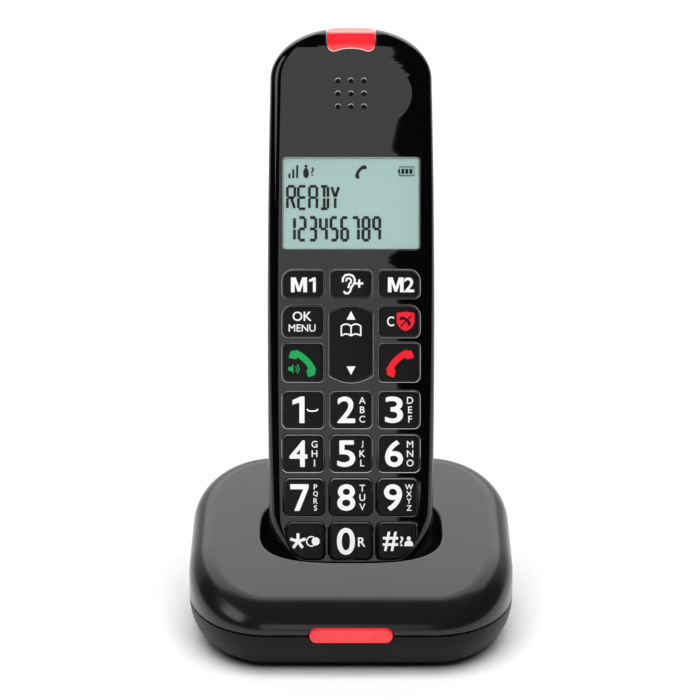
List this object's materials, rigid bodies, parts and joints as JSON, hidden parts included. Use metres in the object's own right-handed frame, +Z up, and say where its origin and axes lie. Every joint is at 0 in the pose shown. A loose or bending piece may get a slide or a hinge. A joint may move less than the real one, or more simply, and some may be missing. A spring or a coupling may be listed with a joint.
{
  "type": "cordless phone with base",
  "caption": "Black cordless telephone: a slim handset with large keys, a display and a red call light, leaning back in a rounded sloping charging base.",
  "frame": {"origin": "on the surface that the feet stand on, at the centre of the bounding box in plan", "axes": "+Z up, -Y towards the user (keypad and base light side), +X to the right seen from the front"},
  "size_m": [0.096, 0.0892, 0.1756],
  "materials": {
    "gloss_black": "polished, mirror-like, very lightly scuffed",
    "satin_black": "fine spark-eroded texture",
    "key_black": "satin, soft-touch",
    "display_glass": "clear, polished",
    "display_panel": "pale grey-green reflective display",
    "red_lens": "translucent, polished",
    "rubber": "matt",
    "circuit_board": "solder mask",
    "steel": "plated",
    "contact_metal": "plated, bright",
    "cell_wrap": "shrunk film sleeve",
    "legend_ink": "printed white ink",
    "legend_green": "printed green ink",
    "legend_red": "printed red ink",
    "display_segment": "dark display segments"
  },
  "bodies": {
    "base": {"base_top_shell": "gloss_black", "base_bottom_shell": "satin_black", "base_light_lens": "red_lens", "base_circuit_board": "circuit_board", "power_socket": "satin_black", "line_socket": "satin_black", "base_foot_1": "rubber", "base_foot_2": "rubber", "base_foot_3": "rubber", "base_foot_4": "rubber", "base_screw_1": "steel", "base_screw_2": "steel", "base_screw_3": "steel", "base_screw_4": "steel"},
    "handset": {"handset_front_shell": "gloss_black", "handset_back_shell": "satin_black", "handset_light_lens": "red_lens", "display_window": "display_glass", "display_module": "display_panel", "handset_circuit_board": "circuit_board", "keypad_mat": "rubber", "earpiece_speaker": "steel", "microphone": "steel", "loudspeaker": "steel", "antenna": "contact_metal", "battery_contact_lower": "steel", "battery_contact_upper": "steel", "battery_cell_left": "cell_wrap", "battery_cell_right": "cell_wrap", "charge_plate_left": "contact_metal", "charge_plate_right": "contact_metal", "handset_screw_left": "steel", "handset_screw_right": "steel"},
    "battery_door": {"battery_door": "satin_black"},
    "page_button": {"page_button": "satin_black"},
    "charge_contact_left": {"charge_contact_left": "contact_metal"},
    "charge_contact_right": {"charge_contact_right": "contact_metal"},
    "key_nav": {"key_nav": "key_black"},
    "key_1": {"key_1": "key_black"},
    "key_2": {"key_2": "key_black"},
    "key_3": {"key_3": "key_black"},
    "key_4": {"key_4": "key_black"},
    "key_5": {"key_5": "key_black"},
    "key_6": {"key_6": "key_black"},
    "key_7": {"key_7": "key_black"},
    "key_8": {"key_8": "key_black"},
    "key_9": {"key_9": "key_black"},
    "key_star": {"key_star": "key_black"},
    "key_0": {"key_0": "key_black"},
    "key_hash": {"key_hash": "key_black"},
    "key_call": {"key_call": "key_black"},
    "key_end": {"key_end": "key_black"},
    "key_ok_menu": {"key_ok_menu": "key_black"},
    "key_c": {"key_c": "key_black"},
    "key_m1": {"key_m1": "key_black"},
    "key_volume": {"key_volume": "key_black"},
    "key_m2": {"key_m2": "key_black"}
  },
  "joints": [
    {"name": "handset_lift", "type": "slide", "parent": "base", "child": "handset", "axis": [0, 0.2672, 0.9636], "range_m": [0, 0.06]},
    {"name": "battery_door_off", "type": "slide", "parent": "handset", "child": "battery_door", "axis": [0, 0.9636, -0.2672], "range_m": [0, 0.02]},
    {"name": "page_button_press", "type": "slide", "parent": "base", "child": "page_button", "axis": [0, -1, 0], "range_m": [0, 0.0008], "stiffness_N_per_m": 800},
    {"name": "charge_contact_left_press", "type": "slide", "parent": "base", "child": "charge_contact_left", "axis": [0, 0.2672, 0.9636], "range_m": [-0.0012, 0], "stiffness_N_per_m": 500},
    {"name": "charge_contact_right_press", "type": "slide", "parent": "base", "child": "charge_contact_right", "axis": [0, 0.2672, 0.9636], "range_m": [-0.0012, 0], "stiffness_N_per_m": 500},
    {"name": "nav_rock", "type": "hinge", "parent": "handset", "child": "key_nav", "pos_m": [0, 0.00029, 0.0856], "axis": [1, 0, 0], "range_deg": [-3, 3], "stiffness_Nm_per_rad": 0.5},
    {"name": "key_1_press", "type": "slide", "parent": "handset", "child": "key_1", "axis": [0, 0.9636, -0.2672], "range_m": [0, 0.001], "stiffness_N_per_m": 800},
    {"name": "key_2_press", "type": "slide", "parent": "handset", "child": "key_2", "axis": [0, 0.9636, -0.2672], "range_m": [0, 0.001], "stiffness_N_per_m": 800},
    {"name": "key_3_press", "type": "slide", "parent": "handset", "child": "key_3", "axis": [0, 0.9636, -0.2672], "range_m": [0, 0.001], "stiffness_N_per_m": 800},
    {"name": "key_4_press", "type": "slide", "parent": "handset", "child": "key_4", "axis": [0, 0.9636, -0.2672], "range_m": [0, 0.001], "stiffness_N_per_m": 800},
    {"name": "key_5_press", "type": "slide", "parent": "handset", "child": "key_5", "axis": [0, 0.9636, -0.2672], "range_m": [0, 0.001], "stiffness_N_per_m": 800},
    {"name": "key_6_press", "type": "slide", "parent": "handset", "child": "key_6", "axis": [0, 0.9636, -0.2672], "range_m": [0, 0.001], "stiffness_N_per_m": 800},
    {"name": "key_7_press", "type": "slide", "parent": "handset", "child": "key_7", "axis": [0, 0.9636, -0.2672], "range_m": [0, 0.001], "stiffness_N_per_m": 800},
    {"name": "key_8_press", "type": "slide", "parent": "handset", "child": "key_8", "axis": [0, 0.9636, -0.2672], "range_m": [0, 0.001], "stiffness_N_per_m": 800},
    {"name": "key_9_press", "type": "slide", "parent": "handset", "child": "key_9", "axis": [0, 0.9636, -0.2672], "range_m": [0, 0.001], "stiffness_N_per_m": 800},
    {"name": "key_star_press", "type": "slide", "parent": "handset", "child": "key_star", "axis": [0, 0.9636, -0.2672], "range_m": [0, 0.001], "stiffness_N_per_m": 800},
    {"name": "key_0_press", "type": "slide", "parent": "handset", "child": "key_0", "axis": [0, 0.9636, -0.2672], "range_m": [0, 0.001], "stiffness_N_per_m": 800},
    {"name": "key_hash_press", "type": "slide", "parent": "handset", "child": "key_hash", "axis": [0, 0.9636, -0.2672], "range_m": [0, 0.001], "stiffness_N_per_m": 800},
    {"name": "key_call_press", "type": "slide", "parent": "handset", "child": "key_call", "axis": [0, 0.9636, -0.2672], "range_m": [0, 0.001], "stiffness_N_per_m": 800},
    {"name": "key_end_press", "type": "slide", "parent": "handset", "child": "key_end", "axis": [0, 0.9636, -0.2672], "range_m": [0, 0.001], "stiffness_N_per_m": 800},
    {"name": "key_ok_menu_press", "type": "slide", "parent": "handset", "child": "key_ok_menu", "axis": [0, 0.9636, -0.2672], "range_m": [0, 0.001], "stiffness_N_per_m": 800},
    {"name": "key_c_press", "type": "slide", "parent": "handset", "child": "key_c", "axis": [0, 0.9636, -0.2672], "range_m": [0, 0.001], "stiffness_N_per_m": 800},
    {"name": "key_m1_press", "type": "slide", "parent": "handset", "child": "key_m1", "axis": [0, 0.9636, -0.2672], "range_m": [0, 0.001], "stiffness_N_per_m": 800},
    {"name": "key_volume_press", "type": "slide", "parent": "handset", "child": "key_volume", "axis": [0, 0.9636, -0.2672], "range_m": [0, 0.001], "stiffness_N_per_m": 800},
    {"name": "key_m2_press", "type": "slide", "parent": "handset", "child": "key_m2", "axis": [0, 0.9636, -0.2672], "range_m": [0, 0.001], "stiffness_N_per_m": 800}
  ]
}
